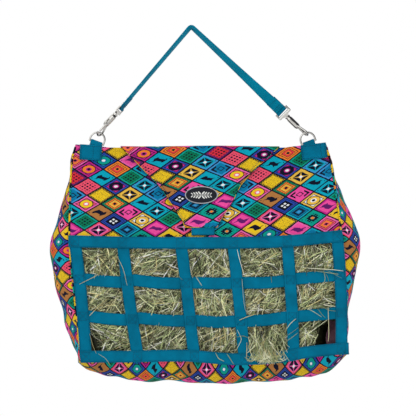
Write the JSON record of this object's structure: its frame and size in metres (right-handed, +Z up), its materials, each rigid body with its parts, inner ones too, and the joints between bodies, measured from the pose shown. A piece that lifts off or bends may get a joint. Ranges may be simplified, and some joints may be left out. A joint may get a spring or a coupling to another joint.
{
  "type": "hay bag",
  "caption": "Slow-feed hay bag of printed cloth with a webbing net window, a closure flap and a hanging strap held by bolt snaps on D-rings.",
  "frame": {"origin": "hang point, under the top bend of the strap", "axes": "+X to the right of the bag seen from its front, -Y out of the front, +Z up"},
  "size_m": [0.656, 0.174, 0.7545],
  "materials": {
    "printed_cloth": "woven print",
    "webbing": "woven nylon webbing",
    "tape": "hook and loop",
    "badge_plate": "gloss",
    "badge_rim": "polished",
    "nickel": "nickel plate",
    "spring_wire": "wire"
  },
  "bodies": {
    "strap": {"hanging_strap": "webbing", "snap_left_eye": "nickel", "snap_right_eye": "nickel"},
    "snap_left": {"snap_left_hook": "nickel", "snap_left_spring": "spring_wire"},
    "snap_right": {"snap_right_hook": "nickel", "snap_right_spring": "spring_wire"},
    "bolt_left": {"snap_left_bolt": "nickel"},
    "bolt_right": {"snap_right_bolt": "nickel"},
    "ring_left": {"ring_left": "nickel"},
    "ring_right": {"ring_right": "nickel"},
    "flap": {"closure_flap": "printed_cloth", "flap_hook_tape": "tape", "flap_pull_tab": "webbing", "badge_plate": "badge_plate", "badge_rim": "badge_rim"},
    "bag": {"back_hem": "webbing", "back_panel": "printed_cloth", "front_hem": "webbing", "front_panel": "printed_cloth", "gusset_bottom": "printed_cloth", "gusset_left": "printed_cloth", "gusset_right": "printed_cloth", "panel_loop_tape": "tape", "tab_loop_left": "webbing", "tab_loop_right": "webbing", "tab_patch_left": "webbing", "tab_patch_right": "webbing", "window_rail_bottom": "webbing", "window_rail_lower": "webbing", "window_rail_top": "webbing", "window_rail_upper": "webbing", "window_upright_1": "webbing", "window_upright_2": "webbing", "window_upright_3": "webbing", "window_upright_4": "webbing", "window_upright_5": "webbing", "window_upright_6": "webbing"}
  },
  "joints": [
    {"name": "bag_swing", "type": "hinge", "parent": "strap", "child": "bag", "pos_m": [0, 0, -0.222], "axis": [1, 0, 0], "range_deg": [-20, 20]},
    {"name": "flap_hinge", "type": "hinge", "parent": "bag", "child": "flap", "pos_m": [0, 0.015, -0.252], "axis": [-1, 0, 0], "range_deg": [0, 125]},
    {"name": "ring_left_tilt", "type": "hinge", "parent": "bag", "child": "ring_left", "pos_m": [-0.20152, 0, -0.24267], "axis": [0.9397, 0, -0.342], "range_deg": [-6, 1]},
    {"name": "snap_left_swivel", "type": "hinge", "parent": "strap", "child": "snap_left", "pos_m": [-0.17525, -0.00289, -0.198], "axis": [0.6886, 0.0761, 0.7212], "range_deg": [-9, 2]},
    {"name": "bolt_left_slide", "type": "slide", "parent": "snap_left", "child": "bolt_left", "axis": [0.6886, 0.0761, 0.7212], "range_m": [0, 0.008], "stiffness_N_per_m": 400, "springref_m": -0.004},
    {"name": "ring_right_tilt", "type": "hinge", "parent": "bag", "child": "ring_right", "pos_m": [0.25052, 0, -0.24267], "axis": [0.9397, 0, 0.342], "range_deg": [-3, 1]},
    {"name": "snap_right_swivel", "type": "hinge", "parent": "strap", "child": "snap_right", "pos_m": [0.21985, 0.00318, -0.20225], "axis": [-0.7171, -0.0836, 0.6919], "range_deg": [-12, 1]},
    {"name": "bolt_right_slide", "type": "slide", "parent": "snap_right", "child": "bolt_right", "axis": [-0.7171, -0.0836, 0.6919], "range_m": [0, 0.008], "stiffness_N_per_m": 400, "springref_m": -0.004}
  ]
}
